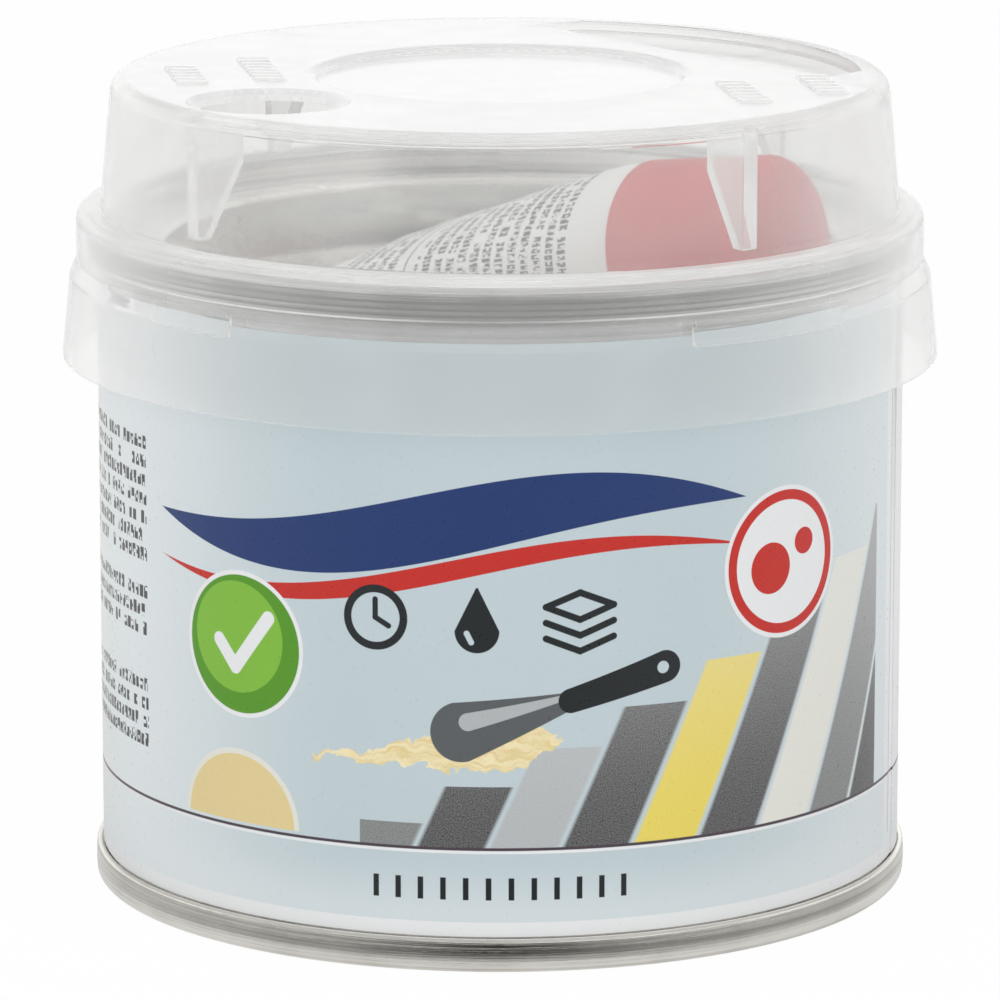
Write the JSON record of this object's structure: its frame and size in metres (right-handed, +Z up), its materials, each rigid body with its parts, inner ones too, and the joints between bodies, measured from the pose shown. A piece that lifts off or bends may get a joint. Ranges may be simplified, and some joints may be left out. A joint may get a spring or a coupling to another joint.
{
  "type": "two-component filler tin",
  "caption": "Round tinplate filler tin with double seams, a plug-in lever lid, a clear push-on mixing cap and a crimped hardener tube stored under the cap.",
  "frame": {"origin": "centre of the standing edge of the lower seam", "axes": "+Z up along the tin's axis, -Y to the front of the label, +X to the right"},
  "size_m": [0.0794, 0.0794, 0.0736],
  "materials": {
    "tinplate": "bright rolled tinplate",
    "sealing_compound": "matt",
    "label_film": "printed film, satin",
    "filler": "thick paste",
    "tube_laminate": "printed laminate, satin",
    "natural_plastic": "moulded",
    "foil": "thin foil",
    "hardener": "paste",
    "red_plastic": "moulded, satin",
    "clear_plastic": "clear moulded polypropylene, slightly milky"
  },
  "bodies": {
    "tin": {"can_body": "tinplate", "bottom_end": "tinplate", "bottom_seam_compound": "sealing_compound", "lid_ring": "tinplate", "top_seam_compound": "sealing_compound", "label_wrap": "label_film", "filler_paste": "filler"},
    "lever_lid": {"lever_lid": "tinplate"},
    "tube": {"tube_sleeve": "tube_laminate", "tube_shoulder": "natural_plastic", "nozzle_membrane": "foil", "hardener_paste": "hardener"},
    "tube_cap": {"tube_cap": "red_plastic"},
    "mixing_cap": {"mixing_cap": "clear_plastic"}
  },
  "joints": [
    {"name": "lever_lid_lift", "type": "slide", "parent": "tin", "child": "lever_lid", "axis": [0, 0, 1], "range_m": [0, 0.025]},
    {"name": "tube_lift", "type": "slide", "parent": "lever_lid", "child": "tube", "axis": [0, 0, 1], "range_m": [0, 0.03]},
    {"name": "tube_cap_turn", "type": "hinge", "parent": "tube", "child": "tube_cap", "pos_m": [0.01432, -0.00116, 0.05772], "axis": [0.7803, -0.6097, 0.1392], "range_deg": [0, 540]},
    {"name": "mixing_cap_lift", "type": "slide", "parent": "tube", "child": "mixing_cap", "axis": [0, 0, 1], "range_m": [0, 0.04]}
  ]
}
